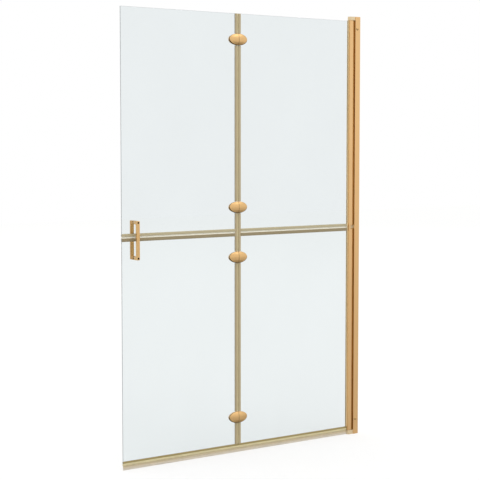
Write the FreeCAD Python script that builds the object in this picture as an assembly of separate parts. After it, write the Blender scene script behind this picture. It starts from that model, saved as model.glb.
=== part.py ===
import FreeCAD, Part
import math
import os

# Folding walk-in shower screen: two clear glass leaves, each an upper and a lower pane, turn in a wall
# channel and fold at the middle on four oval hinges.
# Millimetres. The wall is the plane X = 0 and the screen runs towards -X.
# Its front faces -Y and the floor is Z = 0.

# Overall sizes
screen_width = 1197.0  # wall to the free glass edge, with the carrier pushed right in
screen_height = 1900.0  # wall channel
outer_leaf_width = 553.0  # fold line to the free glass edge
glass_thickness = 6.0
glass_arris = 0.6  # ground bevel along every glass edge
fold_gap = 9.0  # between the panes at the fold line
mid_gap = 11.0  # between the upper and the lower panes

# Clearances
slide_clearance = 0.3  # carrier in the wall channel
turn_clearance = 0.4  # pieces that pass each other as a leaf turns
running_clearance = 0.05  # pin in its bush or knuckle, at the radius
end_play = 0.3  # along a pivot or a hinge
fit_clearance = 0.05  # pieces that are fixed together

# Wall channel, in two lengths that meet at mid height
channel_shoulder = 2.0  # channel's side proud of the pivot profile's
channel_wall = 1.6
channel_web = 2.0
wall_hole_diameter = 5.5
wall_hole_inset = 100.0  # from each end of a length

# Carrier that slides in the channel to take up an uneven wall, and the screws that lock it.
# It is drawn pushed right in.
carrier_wall = 1.5
carrier_stop = 1.0  # open edge to the channel's web
carrier_recess = 2.0  # face behind the channel's mouth
adjust_out = 8.0  # travel out of the channel
lock_slot_margin = 1.8  # carrier's open edge to the slot
lock_screw_diameter = 5.0
lock_head_diameter = 12.0
lock_head_height = 3.0
lock_head_round = 2.4
lock_socket_depth = 1.8
clamp_height = 12.0
clamp_width = 12.0
clamp_thickness = 4.0
clamp_room = 1.9  # clamp plate to the carrier's face
clamp_top_gap = 7.5  # upper clamp plate below the top block's plug
clamp_bottom_gap = 20.0  # lower clamp plate above the bottom block's plug

# Bearing blocks and pivots
top_block_height = 15.5
mid_block_height = 15.0
bottom_block_height = 19.0
plug_length = 25.0  # into a carrier's end
pivot_pin_diameter = 6.0
pivot_pin_reach = 22.0  # out of a block
pivot_pin_cover = 6.0  # block left beyond a pin's end
arm_wall = 1.6  # round the pin in the middle block
bush_wall = 1.0
bush_length = 18.0
bush_flange = 1.0

# Pivot profiles that hold the inner panes
pivot_slot = 1.5  # wall channel to the profile's round back
profile_depth = 26.0
profile_web = 0.7  # middle block's turning room to the glazing groove
profile_joint = 1.0  # between the upper and the lower profile
pane_grip = 7.5
pane_end_cover = 2.2  # profile's end past the glass
glazing_wall = 1.3
glazing_lip = 4.0  # gasket outside the profile

# Edge seals
seal_wall = 1.3
seal_web = 1.5
mid_seal_web = 2.8
seal_bevel = 1.6
seal_tip = 0.4  # thickness at the end of a leg
seal_lip = 2.4
fold_seal_leg = 9.7
upper_mid_leg = 9.0
lower_mid_leg = 12.0
seal_butt = 0.2  # between seals that meet

# Bottom seals
floor_clearance = 1.0
fin_height = 17.0
fin_thickness = 1.2
fin_lean = 3.0
bulb_diameter = 8.0
bulb_sink = 1.0
bottom_web = 2.0
bottom_leg = 9.0

# Fold hinges
oval_width = 90.0
oval_height = 50.0
cover_rim = 6.5
cover_crown = 3.0
cover_edge_round = 2.0
cover_split = 1.2
hinge_gasket = 1.0
gasket_inset = 0.5
plate_inset = 2.0  # back plate's edge inside the cover's
plate_thickness = 5.0
plate_edge_round = 1.0
barrel_stand_off = 1.5  # barrel behind the gaskets
barrel_inset = 3.0  # barrel's ends inside the cover's
hinge_pin_diameter = 5.0
hinge_pin_cap = 1.5
knuckle_wall = 3.0
knuckle_root = 3.0  # knuckle's web past the barrel
middle_knuckle = 15.4
hinge_screw_diameter = 5.0
hinge_head_diameter = 9.6
hinge_screw_offset = 22.0  # from the fold line
hinge_screw_pitch = 22.0
hinge_screw_grip = 4.5  # into the cover
hinge_glass_hole = 10.0
hinge_top_drop = 109.0  # glass top down to the top hinge
hinge_mid_offset = 107.0  # mid gap to the hinges beside it
hinge_bottom_rise = 126.5  # glass bottom up to the bottom hinge

# Handle, a bar on each side of the outer leaf
handle_inset = 60.0  # from the free edge
handle_drop = 13.0  # below the mid gap
handle_pitch = 145.0
handle_bar_width = 14.0
handle_bar_depth = 11.0
handle_arm_height = 14.0
handle_finger_gap = 18.5  # glass to bar
handle_round = 1.5
handle_bolt_diameter = 4.0
handle_head_diameter = 8.0
handle_head_height = 4.0
handle_head_recess = 2.0
handle_bolt_grip = 12.0  # into the back handle
handle_washer = 1.0
handle_washer_diameter = 13.0
handle_glass_hole = 9.0
hex_share = 0.5  # socket's width to its head's

# Places that follow from the sizes above
OUTER = -1
INNER = 1
half_glass = glass_thickness / 2
free_edge_x = -screen_width
fold_x = outer_leaf_width - screen_width
channel_depth = profile_depth + 2 * channel_shoulder
carrier_open_x = -(channel_web + carrier_stop)
lock_slot_half = lock_screw_diameter / 2 + slide_clearance
lock_x = carrier_open_x - lock_slot_margin - lock_slot_half - adjust_out
carrier_face_x = lock_x - clamp_width / 2 - clamp_room - carrier_wall
channel_reach = carrier_recess - carrier_face_x
carrier_half = channel_depth / 2 - channel_wall - slide_clearance
pivot_x = -(channel_reach + pivot_slot + profile_depth / 2)
pivot_pin_radius = pivot_pin_diameter / 2
arm_half = pivot_pin_radius + arm_wall
bush_bore = pivot_pin_radius + running_clearance
bush_radius = bush_bore + bush_wall
pivot_notch_x = pivot_x - arm_half - turn_clearance
groove_x = pivot_notch_x - profile_web
pane_edge_x = groove_x - glazing_wall
profile_face_x = pane_edge_x - pane_grip

top_block_z = screen_height - top_block_height
profile_end_gap = end_play + bush_flange
profile_top_z = top_block_z - profile_end_gap
profile_bottom_z = bottom_block_height + profile_end_gap
glass_top_z = profile_top_z - pane_end_cover
bulb_z = floor_clearance + fin_height + bulb_diameter / 2
glass_bottom_z = bulb_z + bulb_diameter / 2 - bulb_sink + bottom_web
pane_height = (glass_top_z - glass_bottom_z - mid_gap) / 2
lower_pane_top_z = glass_bottom_z + pane_height
upper_pane_bottom_z = lower_pane_top_z + mid_gap
mid_z = lower_pane_top_z + mid_gap / 2
mid_block_bottom_z = mid_z - mid_block_height / 2
mid_block_top_z = mid_z + mid_block_height / 2
lock_heights = [
    bottom_block_height + plug_length + clamp_bottom_gap + clamp_height / 2,
    top_block_z - plug_length - clamp_top_gap - clamp_height / 2,
]

gasket_y = half_glass + hinge_gasket
plate_y = gasket_y + plate_thickness
hinge_pin_radius = hinge_pin_diameter / 2
barrel_radius = hinge_pin_radius + knuckle_wall
barrel_length = oval_height - 2 * barrel_inset
fold_y = gasket_y + barrel_stand_off + barrel_radius
hinge_heights = {
    "top": glass_top_z - hinge_top_drop,
    "upper": mid_z + hinge_mid_offset,
    "lower": mid_z - hinge_mid_offset,
    "bottom": glass_bottom_z + hinge_bottom_rise,
}
handle_x = free_edge_x + handle_inset
handle_z = mid_z - handle_drop
handle_bolt_heights = [handle_z - handle_pitch / 2, handle_z + handle_pitch / 2]
handle_bar_y = half_glass + handle_finger_gap
handle_front_y = handle_bar_y + handle_bar_depth
handle_arm_y = half_glass + handle_washer


def vector(x, y, z):
    return FreeCAD.Vector(x, y, z)


def block(xs, ys, zs):
    """Box between two values on each axis, in either order."""
    low = [min(pair) for pair in (xs, ys, zs)]
    size = [abs(pair[1] - pair[0]) for pair in (xs, ys, zs)]
    return Part.makeBox(*size, vector(*low))


def upright(radius, x, y, zs):
    """Upright cylinder between two heights."""
    low = min(zs)
    return Part.makeCylinder(radius, max(zs) - low, vector(x, y, low))


def crosswise(radius, x, z, ys):
    """Cylinder through the screen's thickness, between two values of Y."""
    low = min(ys)
    return Part.makeCylinder(radius, max(ys) - low, vector(x, low, z), vector(0, 1, 0))


def prism(points, travel):
    """Straight extrusion of the outline through the points."""
    return Part.Face(Part.makePolygon(points + points[:1])).extrude(travel)


def join(first, *others):
    return first.fuse(list(others)).removeSplitter()


def hex_socket(head_diameter, x, z, y, depth):
    """Hexagonal key socket, sunk from y along +Y when depth is positive."""
    radius = head_diameter * hex_share / 2
    corners = [i * math.pi / 3 for i in range(6)]
    points = [vector(x + radius * math.cos(a), y, z + radius * math.sin(a)) for a in corners]
    return prism(points, vector(0, depth, 0))


def save(node, *solids):
    shape = solids[0] if len(solids) == 1 else Part.makeCompound(list(solids))
    shape.exportStep(f"parts/{node}.step")


def wall_channel(zs):
    """One length of the U-section on the wall, open towards the glass, with its wall screw holes."""
    half = channel_depth / 2
    outside = block((-channel_reach, 0), (-half, half), zs)
    inside = block((-channel_reach, -channel_web), (channel_wall - half, half - channel_wall), zs)
    holes = [lock_hole(z, lock_screw_diameter / 2 + fit_clearance) for z in lock_heights if zs[0] < z < zs[1]]
    for z in (zs[0] + wall_hole_inset, zs[1] - wall_hole_inset):
        start = vector(-channel_web, 0, z)
        holes.append(Part.makeCylinder(wall_hole_diameter / 2, channel_web, start, vector(1, 0, 0)))
    return outside.cut([inside, *holes])


def lock_hole(z, radius):
    return crosswise(radius, lock_x, z, (-channel_depth / 2, -channel_depth / 2 + channel_wall))


def lock_screw(z):
    """Pan-head screw through the channel's front into the clamp plate."""
    face = -channel_depth / 2
    head = crosswise(lock_head_diameter / 2, lock_x, z, (face - lock_head_height, face))
    rim = [e for e in head.Edges if e.BoundBox.YMax < face - lock_head_height / 2 and len(e.Vertexes) == 1]
    head = head.makeFillet(lock_head_round, rim)
    socket = hex_socket(lock_head_diameter, lock_x, z, face - lock_head_height, lock_socket_depth)
    shank = crosswise(lock_screw_diameter / 2, lock_x, z, (face, clamp_front_y() + clamp_thickness))
    return join(head, shank).cut(socket)


def clamp_front_y():
    return -(carrier_half - carrier_wall - slide_clearance)


def clamp_plate(z):
    """Threaded plate inside the carrier, drawn against its front wall by the lock screw."""
    ys = (clamp_front_y(), clamp_front_y() + clamp_thickness)
    xs = (lock_x - clamp_width / 2, lock_x + clamp_width / 2)
    plate = block(xs, ys, (z - clamp_height / 2, z + clamp_height / 2))
    return plate.cut(crosswise(lock_screw_diameter / 2 + fit_clearance, lock_x, z, ys))


def carrier(zs):
    """U-section that slides in the channel, its face towards the pivot, slotted for a lock screw."""
    outside = block((carrier_face_x, carrier_open_x), (-carrier_half, carrier_half), zs)
    inner = carrier_half - carrier_wall
    inside = block((carrier_face_x + carrier_wall, carrier_open_x), (-inner, inner), zs)
    slots = [lock_slot(z) for z in lock_heights if zs[0] < z < zs[1]]
    return outside.cut([inside, *slots])


def lock_slot(z):
    """Slot in the carrier's front wall, as long as the adjustment."""
    ys = (-carrier_half, carrier_wall - carrier_half)
    ends = (lock_x, lock_x + adjust_out)
    straight = block(ends, ys, (z - lock_slot_half, z + lock_slot_half))
    return join(straight, *[crosswise(lock_slot_half, x, z, ys) for x in ends])


def block_head(zs):
    """Part of a bearing block that stands in the channel, in line with the carrier."""
    return block((carrier_face_x, carrier_open_x), (-carrier_half, carrier_half), zs)


def block_plug(zs):
    """Part of a bearing block that is pushed into a carrier's end."""
    inner = carrier_half - carrier_wall - fit_clearance
    return block((carrier_face_x + carrier_wall + fit_clearance, carrier_open_x), (-inner, inner), zs)


def end_block(zs, plug_zs, seat_zs):
    """Top or bottom bearing block. Its arm covers the pivot profile's end, rounded about the pivot."""
    half = profile_depth / 2
    arm = block((pivot_x, carrier_open_x), (-half, half), zs)
    nose = upright(pivot_x - profile_face_x, pivot_x, 0, zs)
    nose = nose.common(block((profile_face_x, pivot_x), (-half, half), zs))
    solid = join(block_head(zs), arm, nose, block_plug(plug_zs))
    return solid.cut(upright(pivot_pin_radius + fit_clearance, pivot_x, 0, seat_zs))


def middle_block():
    """Middle bearing block, with a slim round arm that stands in the notch between the two profiles."""
    zs = (mid_block_bottom_z, mid_block_top_z)
    arm = block((pivot_x, carrier_open_x), (-arm_half, arm_half), zs)
    plugs = block_plug((zs[0] - plug_length, zs[1] + plug_length))
    solid = join(block_head(zs), arm, upright(arm_half, pivot_x, 0, zs), plugs)
    return solid.cut(upright(pivot_pin_radius + fit_clearance, pivot_x, 0, zs))


def pivot_bush(face_z, way):
    """Flanged bush in a pivot profile's end. The profile lies on the side of face_z that way points to."""
    flange = upright(arm_half, pivot_x, 0, (face_z - way * bush_flange, face_z))
    sleeve = upright(bush_radius, pivot_x, 0, (face_z, face_z + way * bush_length))
    bore = upright(bush_bore, pivot_x, 0, (face_z - way * bush_flange, face_z + way * bush_length))
    return join(flange, sleeve).cut(bore)


def pivot_profile(zs, notch_zs):
    """Extrusion with a round back about the pivot, a bore for the bushes and a groove for the glass."""
    half = profile_depth / 2
    body = join(block((profile_face_x, pivot_x), (-half, half), zs), upright(half, pivot_x, 0, zs))
    groove = half_glass + glazing_wall
    cuts = [
        upright(bush_radius + fit_clearance, pivot_x, 0, zs),
        block((profile_face_x, groove_x), (-groove, groove), zs),
        block((pivot_notch_x, pivot_x + profile_depth), (-half, half), notch_zs),
    ]
    return body.cut(cuts)


def glazing_gasket(zs):
    """U-shaped gasket round the pane's edge in the pivot profile."""
    outer = half_glass + glazing_wall - fit_clearance
    lip_x = profile_face_x - glazing_lip
    outside = block((lip_x, groove_x - fit_clearance), (-outer, outer), zs)
    return outside.cut(block((lip_x, pane_edge_x), (-half_glass, half_glass), zs))


def pane(xs, zs, holes):
    """Toughened glass pane with ground edges and drilled holes, given as (x, z, diameter)."""
    glass = block(xs, (-half_glass, half_glass), zs)
    glass = glass.makeChamfer(glass_arris, glass.Edges)
    drills = [crosswise(d / 2, x, z, (-half_glass, half_glass)) for x, z, d in holes if zs[0] < z < zs[1]]
    return glass.cut(drills)


def hinge_holes(side):
    x = fold_x + side * hinge_screw_offset
    step = hinge_screw_pitch / 2
    heights = [z + way * step for z in hinge_heights.values() for way in (-1, 1)]
    return [(x, z, hinge_glass_hole) for z in heights]


def clip_outline(leg, web, lip_reach):
    """Half of a seal's outline, from its lip to its leg, as (distance into the pane, distance across it)."""
    outer = half_glass + seal_wall
    start = [(-web - lip_reach, seal_lip / 4), (-web, seal_lip / 2)] if lip_reach else [(-web, 0)]
    clip = [(-web, outer), (leg - seal_bevel, outer), (leg, half_glass + seal_tip), (leg, half_glass)]
    return start + clip + [(0, half_glass)]


def clip_points(leg, web, lip_reach):
    """Whole closed outline of a clip-on seal."""
    half = clip_outline(leg, web, lip_reach)
    return half + [(u, -v) for u, v in reversed(half) if v]


def fold_seal(side, zs):
    """Upright seal clipped on a pane's edge at the fold line."""
    edge_x = fold_x + side * fold_gap / 2
    lip_reach = fold_gap / 2 - seal_web - seal_butt
    points = clip_points(fold_seal_leg, seal_web, lip_reach)
    return prism([vector(edge_x + side * u, v, zs[0]) for u, v in points], vector(0, 0, zs[1] - zs[0]))


def fold_seal_runs():
    """Heights between which the fold seal runs, cut away at each hinge."""
    stops = sorted(hinge_heights.values())
    room = oval_height / 2 + seal_butt
    starts = [glass_bottom_z + bottom_leg + seal_butt] + [z + room for z in stops]
    ends = [z - room for z in stops] + [glass_top_z]
    return list(zip(starts, ends))


def mid_seal(xs, way, leg):
    """Level seal clipped on a pane's edge at the mid gap, above it when way is 1 and below when -1."""
    edge_z = mid_z + way * mid_gap / 2
    lip_reach = mid_gap / 2 - mid_seal_web - fit_clearance
    points = clip_points(leg, mid_seal_web, lip_reach)
    return prism([vector(xs[0], v, edge_z + way * u) for u, v in points], vector(xs[1] - xs[0], 0, 0))


def bottom_seal(xs):
    """Seal under a leaf: a clip on the glass, a bulb, and a fin that leans forward to the floor."""
    travel = vector(xs[1] - xs[0], 0, 0)
    clip_ends = [vector(xs[0], v, glass_bottom_z + u) for u, v in clip_points(bottom_leg, bottom_web, 0)]
    clip = prism(clip_ends, travel)
    bulb = Part.makeCylinder(bulb_diameter / 2, travel.x, vector(xs[0], 0, bulb_z), vector(1, 0, 0))
    half = fin_thickness / 2
    fin = [(-half, bulb_z), (half, bulb_z)]
    fin += [(half - fin_lean, floor_clearance), (-half - fin_lean, floor_clearance)]
    return join(clip, bulb, prism([vector(xs[0], y, z) for y, z in fin], travel))


def turned_oval(width, height, outline):
    """Solid of revolution about Y from an outline of edges, stretched along X to an oval."""
    round_solid = Part.Face(Part.Wire(outline)).revolve(vector(0, 0, 0), vector(0, 1, 0), 360)
    stretch = FreeCAD.Matrix()
    stretch.scale(width / height, 1, 1)
    return round_solid.transformGeometry(stretch)


def line(start, end):
    return Part.makeLine(vector(*start, 0), vector(*end, 0))


def arc(start, middle, end):
    return Part.Arc(vector(*start, 0), vector(*middle, 0), vector(*end, 0)).toShape()


def quarter(corner, way, size):
    """Rounded corner of an outline: from the rim, size below the corner, to size inside it."""
    radius, y = corner
    bulge = size * (1 - math.sqrt(0.5))
    return arc((radius, y - way * size), (radius - bulge, y - way * bulge), (radius - size, y))


def half_oval(solid, side):
    """The half of an oval that belongs to one leaf, moved to the fold line."""
    reach = oval_width
    kept = solid.common(block((side * cover_split / 2, side * reach), (-reach, reach), (-reach, reach)))
    kept.translate(vector(fold_x, 0, 0))
    return kept


def crowned_oval():
    """Front cover before it is split: a rim, a rounded edge and a crowned face."""
    radius = oval_height / 2
    rim_y = -gasket_y - cover_rim
    face = radius - cover_edge_round
    crown_radius = (face**2 + cover_crown**2) / (2 * cover_crown)
    top_y = rim_y - cover_crown
    middle = (face / 2, top_y + crown_radius - math.sqrt(crown_radius**2 - face**2 / 4))
    outline = [
        line((0, -gasket_y), (radius, -gasket_y)),
        line((radius, -gasket_y), (radius, rim_y + cover_edge_round)),
        quarter((radius, rim_y), -1, cover_edge_round),
        arc((face, rim_y), middle, (0, top_y)),
        line((0, top_y), (0, -gasket_y)),
    ]
    return turned_oval(oval_width, oval_height, outline)


def plate_oval():
    """Back plate before it is split: flat, with a rounded edge."""
    radius = oval_height / 2 - plate_inset
    face = radius - plate_edge_round
    outline = [
        line((0, gasket_y), (radius, gasket_y)),
        line((radius, gasket_y), (radius, plate_y - plate_edge_round)),
        quarter((radius, plate_y), 1, plate_edge_round),
        line((face, plate_y), (0, plate_y)),
        line((0, plate_y), (0, gasket_y)),
    ]
    return turned_oval(oval_width - 2 * plate_inset, oval_height - 2 * plate_inset, outline)


def flat_oval(inset, ys):
    radius = oval_height / 2 - inset
    corners = [(0, ys[0]), (radius, ys[0]), (radius, ys[1]), (0, ys[1])]
    outline = [line(a, b) for a, b in zip(corners, corners[1:] + corners[:1])]
    return turned_oval(oval_width - 2 * inset, oval_height - 2 * inset, outline)


def screw_places(side):
    """Where the two screws of one hinge leaf pass, at hinge height zero."""
    return [(fold_x + side * hinge_screw_offset, way * hinge_screw_pitch / 2) for way in (-1, 1)]


def hinge_cover(side):
    """Front half of a hinge leaf, with blind threaded holes in its back."""
    depth = (-gasket_y - hinge_screw_grip - fit_clearance, -gasket_y)
    radius = hinge_screw_diameter / 2 + fit_clearance
    holes = [crosswise(radius, x, z, depth) for x, z in screw_places(side)]
    return half_oval(crowned_oval(), side).cut(holes)


def knuckle_runs(side):
    """Heights of one leaf's knuckles: the inner leaf has the middle one, the outer leaf the two ends."""
    middle = middle_knuckle / 2
    if side == INNER:
        return [(-middle, middle)]
    near = middle + end_play
    return [(-barrel_length / 2, -near), (near, barrel_length / 2)]


def hinge_plate(side):
    """Back half of a hinge leaf: a half oval with its knuckles and countersunk screw holes."""
    full = (-oval_height / 2, oval_height / 2)
    plate = half_oval(plate_oval(), side).cut(upright(barrel_radius + turn_clearance, fold_x, fold_y, full))
    root_xs = (fold_x + side * cover_split / 2, fold_x + side * (barrel_radius + knuckle_root))
    knuckles = []
    for zs in knuckle_runs(side):
        knuckles += [upright(barrel_radius, fold_x, fold_y, zs), block(root_xs, (gasket_y, plate_y), zs)]
    room = fit_clearance if side == INNER else running_clearance
    holes = [hinge_screw(x, z, fit_clearance) for x, z in screw_places(side)]
    holes.append(upright(hinge_pin_radius + room, fold_x, fold_y, full))
    return join(plate, *knuckles).cut(holes)


def hinge_screw(x, z, room):
    """Countersunk screw from the back plate into the cover, or the hole for it when room is given."""
    radius = hinge_screw_diameter / 2
    head = hinge_head_diameter / 2
    sink = head - radius
    tip_y = -gasket_y - hinge_screw_grip
    cone = Part.makeCone(radius + room, head + room, sink, vector(x, plate_y - sink, z), vector(0, 1, 0))
    return join(crosswise(radius + room, x, z, (tip_y, plate_y - sink)), cone)


def hinge_screw_solid(x, z):
    screw = hinge_screw(x, z, 0)
    sink = (hinge_head_diameter - hinge_screw_diameter) / 2
    return screw.cut(hex_socket(hinge_head_diameter, x, z, plate_y, -sink))


def hinge_pin():
    """Pin with a cap at each end, fixed in the inner leaf's knuckle."""
    half = barrel_length / 2 + end_play
    shank = upright(hinge_pin_radius, fold_x, fold_y, (-half, half))
    cap_radius = hinge_pin_radius + knuckle_wall / 2
    end = half + hinge_pin_cap
    caps = [upright(cap_radius, fold_x, fold_y, zs) for zs in ((-end, -half), (half, end))]
    return join(shank, *caps)


def hinge_gasket_pad(side, face):
    """Pad under a cover (face -1) or a back plate (face 1), with collars in the glass holes."""
    ys = (face * half_glass, face * gasket_y)
    inset = gasket_inset if face < 0 else plate_inset + gasket_inset
    pad = half_oval(flat_oval(inset, ys), side)
    collar_ys = (face * fit_clearance, face * gasket_y)
    collar = hinge_glass_hole / 2 - fit_clearance
    bore = hinge_screw_diameter / 2 + fit_clearance
    places = screw_places(side)
    pad = join(pad, *[crosswise(collar, x, z, collar_ys) for x, z in places])
    return pad.cut([crosswise(bore, x, z, collar_ys) for x, z in places])


def at_hinges(solid):
    """Copies of a solid at every hinge height."""
    copies = [solid.copy() for _ in hinge_heights]
    for copy, z in zip(copies, hinge_heights.values()):
        copy.translate(vector(0, 0, z))
    return copies


def handle(face):
    """Bar handle with an arm at each end, in front of the glass when face is -1."""
    reach = (handle_pitch + handle_arm_height) / 2
    inner = (handle_pitch - handle_arm_height) / 2
    outline = [
        (handle_arm_y, reach),
        (handle_front_y, reach),
        (handle_front_y, -reach),
        (handle_arm_y, -reach),
        (handle_arm_y, -inner),
        (handle_bar_y, -inner),
        (handle_bar_y, inner),
        (handle_arm_y, inner),
    ]
    low_x = handle_x - handle_bar_width / 2
    points = [vector(low_x, face * y, handle_z + z) for y, z in outline]
    bar = prism(points, vector(handle_bar_width, 0, 0))
    seat_y = face * handle_arm_y
    edges = [e for e in bar.Edges if max(abs(v.Point.y - seat_y) for v in e.Vertexes) > fit_clearance]
    return bar.makeFillet(handle_round, edges)


def front_handle():
    """Handle on the front, with sockets for the bolt heads."""
    face = -handle_front_y
    head_end = face + handle_head_recess + handle_head_height
    cuts = []
    for z in handle_bolt_heights:
        cuts.append(crosswise(handle_head_diameter / 2 + fit_clearance, handle_x, z, (face, head_end)))
        cuts.append(crosswise(handle_bolt_diameter / 2 + fit_clearance, handle_x, z, (face, -handle_arm_y)))
    return handle(-1).cut(cuts)


def back_handle():
    """Handle on the back, threaded for the bolts."""
    ys = (handle_arm_y, handle_arm_y + handle_bolt_grip + fit_clearance)
    radius = handle_bolt_diameter / 2 + fit_clearance
    return handle(1).cut([crosswise(radius, handle_x, z, ys) for z in handle_bolt_heights])


def handle_bolt(z):
    """Socket-head bolt from the front handle through the glass into the back handle."""
    head_y = handle_head_recess - handle_front_y
    head = crosswise(handle_head_diameter / 2, handle_x, z, (head_y, head_y + handle_head_height))
    tip_y = handle_arm_y + handle_bolt_grip
    shank = crosswise(handle_bolt_diameter / 2, handle_x, z, (head_y, tip_y))
    socket = hex_socket(handle_head_diameter, handle_x, z, head_y, handle_head_height / 2)
    return join(head, shank).cut(socket)


def handle_ring(z, ys, diameter):
    """Washer or sleeve round a handle bolt."""
    ring = crosswise(diameter / 2, handle_x, z, ys)
    return ring.cut(crosswise(handle_bolt_diameter / 2 + fit_clearance, handle_x, z, ys))


def save_wall_pieces():
    save("lower_wall_channel", wall_channel((0, mid_z)))
    save("upper_wall_channel", wall_channel((mid_z, screen_height)))
    save("lock_screws", *[lock_screw(z) for z in lock_heights])
    save("clamp_plates", *[clamp_plate(z) for z in lock_heights])
    save("lower_carrier", carrier((bottom_block_height, mid_block_bottom_z)))
    save("upper_carrier", carrier((mid_block_top_z, top_block_z)))
    top_plug = (top_block_z - plug_length, screen_height)
    top_seat = (top_block_z, screen_height - pivot_pin_cover)
    save("top_bearing_block", end_block((top_block_z, screen_height), top_plug, top_seat))
    bottom_plug = (0, bottom_block_height + plug_length)
    bottom_seat = (pivot_pin_cover, bottom_block_height)
    save("bottom_bearing_block", end_block((0, bottom_block_height), bottom_plug, bottom_seat))
    save("middle_bearing_block", middle_block())


def save_pivot_pieces():
    pins = {
        "top": (top_block_z - pivot_pin_reach, screen_height - pivot_pin_cover),
        "middle": (mid_block_bottom_z - pivot_pin_reach, mid_block_top_z + pivot_pin_reach),
        "bottom": (pivot_pin_cover, bottom_block_height + pivot_pin_reach),
    }
    for name, zs in pins.items():
        save(f"{name}_pivot_pin", upright(pivot_pin_radius, pivot_x, 0, zs))
    upper_end = mid_block_top_z + profile_end_gap
    lower_end = mid_block_bottom_z - profile_end_gap
    ends = [(profile_bottom_z, 1), (lower_end, -1), (upper_end, 1), (profile_top_z, -1)]
    save("pivot_bushes", *[pivot_bush(z, way) for z, way in ends])
    lower_zs = (profile_bottom_z, mid_z - profile_joint / 2)
    upper_zs = (mid_z + profile_joint / 2, profile_top_z)
    save("lower_pivot_profile", pivot_profile(lower_zs, (lower_end, mid_z)))
    save("upper_pivot_profile", pivot_profile(upper_zs, (mid_z, upper_end)))
    gasket_bottom_z = glass_bottom_z + bottom_leg + seal_butt
    save("lower_glazing_gasket", glazing_gasket((gasket_bottom_z, lower_zs[1])))
    save("upper_glazing_gasket", glazing_gasket(upper_zs))


def save_panes():
    xs = {
        "inner": (fold_x + fold_gap / 2, pane_edge_x),
        "outer": (free_edge_x, fold_x - fold_gap / 2),
    }
    handle_holes = [(handle_x, z, handle_glass_hole) for z in handle_bolt_heights]
    holes = {"inner": hinge_holes(INNER), "outer": hinge_holes(OUTER) + handle_holes}
    heights = {"lower": (glass_bottom_z, lower_pane_top_z), "upper": (upper_pane_bottom_z, glass_top_z)}
    for leaf in xs:
        for level, zs in heights.items():
            save(f"{leaf}_{level}_pane", pane(xs[leaf], zs, holes[leaf]))


def save_seals():
    lip_x = profile_face_x - glazing_lip - seal_butt
    fold_reach = fold_gap / 2 + fold_seal_leg + seal_butt
    mid_xs = {"inner": (fold_x + fold_reach, lip_x), "outer": (free_edge_x, fold_x - fold_reach)}
    bottom_xs = {
        "inner": (fold_x + seal_butt, profile_face_x - turn_clearance),
        "outer": (free_edge_x, fold_x - seal_butt),
    }
    for leaf, side in (("inner", INNER), ("outer", OUTER)):
        save(f"{leaf}_fold_seal", *[fold_seal(side, zs) for zs in fold_seal_runs()])
        save(f"{leaf}_upper_mid_seal", mid_seal(mid_xs[leaf], 1, upper_mid_leg))
        save(f"{leaf}_lower_mid_seal", mid_seal(mid_xs[leaf], -1, lower_mid_leg))
        save(f"{leaf}_bottom_seal", bottom_seal(bottom_xs[leaf]))


def save_hinges():
    for leaf, side in (("inner", INNER), ("outer", OUTER)):
        covers = at_hinges(hinge_cover(side))
        plates = at_hinges(hinge_plate(side))
        for name, cover, plate in zip(hinge_heights, covers, plates):
            save(f"{name}_hinge_{leaf}_cover", cover)
            save(f"{name}_hinge_{leaf}_plate", plate)
        pads = [pad for face in (-1, 1) for pad in at_hinges(hinge_gasket_pad(side, face))]
        save(f"{leaf}_hinge_gaskets", *pads)
        screws = [screw for x, z in screw_places(side) for screw in at_hinges(hinge_screw_solid(x, z))]
        save(f"{leaf}_hinge_screws", *screws)
    for name, pin in zip(hinge_heights, at_hinges(hinge_pin())):
        save(f"{name}_hinge_pin", pin)


def save_handle():
    save("front_handle", front_handle())
    save("back_handle", back_handle())
    save("handle_bolts", *[handle_bolt(z) for z in handle_bolt_heights])
    faces = [(-handle_arm_y, -half_glass), (half_glass, handle_arm_y)]
    places = [(z, ys) for z in handle_bolt_heights for ys in faces]
    save("handle_washers", *[handle_ring(z, ys, handle_washer_diameter) for z, ys in places])
    sleeve = handle_glass_hole - 2 * fit_clearance
    save("handle_sleeves", *[handle_ring(z, (-half_glass, half_glass), sleeve) for z in handle_bolt_heights])


os.makedirs("parts", exist_ok=True)
save_wall_pieces()
save_pivot_pieces()
save_panes()
save_seals()
save_hinges()
save_handle()
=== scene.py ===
import math

import bmesh
import bpy
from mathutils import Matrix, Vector


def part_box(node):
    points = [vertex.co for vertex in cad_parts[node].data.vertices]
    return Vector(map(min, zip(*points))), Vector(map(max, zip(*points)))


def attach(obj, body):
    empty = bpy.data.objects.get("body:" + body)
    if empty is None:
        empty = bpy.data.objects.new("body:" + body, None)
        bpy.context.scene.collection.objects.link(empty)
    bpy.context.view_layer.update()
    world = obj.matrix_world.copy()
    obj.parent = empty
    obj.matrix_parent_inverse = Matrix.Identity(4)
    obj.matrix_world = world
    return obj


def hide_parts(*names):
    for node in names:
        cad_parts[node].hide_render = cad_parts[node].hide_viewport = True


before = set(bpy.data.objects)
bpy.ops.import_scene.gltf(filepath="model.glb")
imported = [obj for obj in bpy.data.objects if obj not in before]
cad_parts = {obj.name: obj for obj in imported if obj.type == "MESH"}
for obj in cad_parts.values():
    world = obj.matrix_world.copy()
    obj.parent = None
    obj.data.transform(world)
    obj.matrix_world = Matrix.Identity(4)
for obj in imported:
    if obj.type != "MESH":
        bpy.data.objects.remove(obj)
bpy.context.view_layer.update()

bl_info = {
    "name": "Folding Shower Screen",
    "version": (1, 0, 0),
    "blender": (4, 5, 0),
    "location": "3D View > Sidebar > Shower Screen",
    "description": "Dresses a folding glass shower screen in gold trim, clear glass and soft seals",
    "category": "Object",
}

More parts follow.
